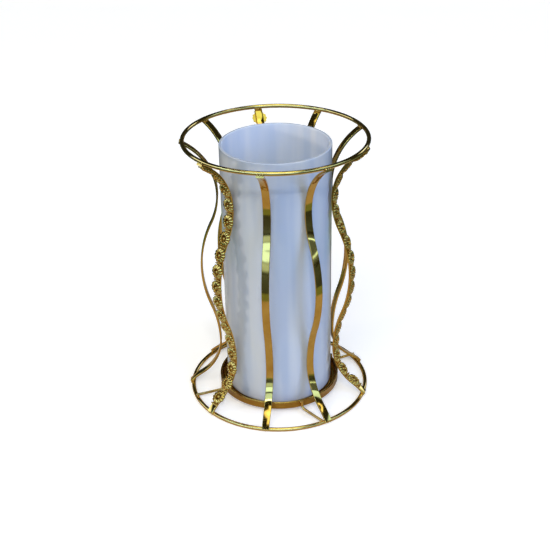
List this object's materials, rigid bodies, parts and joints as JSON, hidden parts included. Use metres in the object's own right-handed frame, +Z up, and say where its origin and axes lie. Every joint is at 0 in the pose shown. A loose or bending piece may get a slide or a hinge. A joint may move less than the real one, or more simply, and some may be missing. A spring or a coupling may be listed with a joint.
{
  "type": "cylinder vase in a wire cage stand",
  "caption": "Straight glazed white cylinder vase that stands loose in a gold-plated hourglass cage of curved straps, some trimmed with rosettes.",
  "frame": {"origin": "centre of the foot ring, in the plane it stands on, on the vase's axis", "axes": "+Z up along the vase's axis; +X right and -Y towards the viewer, with the trimmed straps at the back, the front left and the right"},
  "size_m": [0.2041, 0.2035, 0.3025],
  "materials": {
    "glazed_body": "clear gloss glaze over white body",
    "plated_wire": "gold-plated, mirror polished",
    "plated_strap": "gold-plated, mirror polished",
    "plated_rosettes": "gold-plated, mirror polished",
    "plated_dish": "gold-plated, polished"
  },
  "bodies": {
    "cage": {"top_ring": "plated_wire", "foot_ring": "plated_wire", "dish_band": "plated_dish", "dish_floor": "plated_dish", "strap_1": "plated_strap", "strap_2": "plated_strap", "strap_3": "plated_strap", "strap_4": "plated_strap", "strap_5": "plated_strap", "strap_6": "plated_strap", "strap_7": "plated_strap", "strap_8": "plated_strap", "strap_9": "plated_strap", "rosette_chain_3": "plated_rosettes", "rosette_chain_6": "plated_rosettes", "rosette_chain_9": "plated_rosettes", "spoke_1": "plated_wire", "spoke_2": "plated_wire", "spoke_3": "plated_wire", "spoke_4": "plated_wire"},
    "vase": {"vase_cylinder": "glazed_body"}
  },
  "joints": [
    {"name": "vase_lift", "type": "slide", "parent": "cage", "child": "vase", "axis": [0, 0, 1], "range_m": [0, 0.3]}
  ]
}
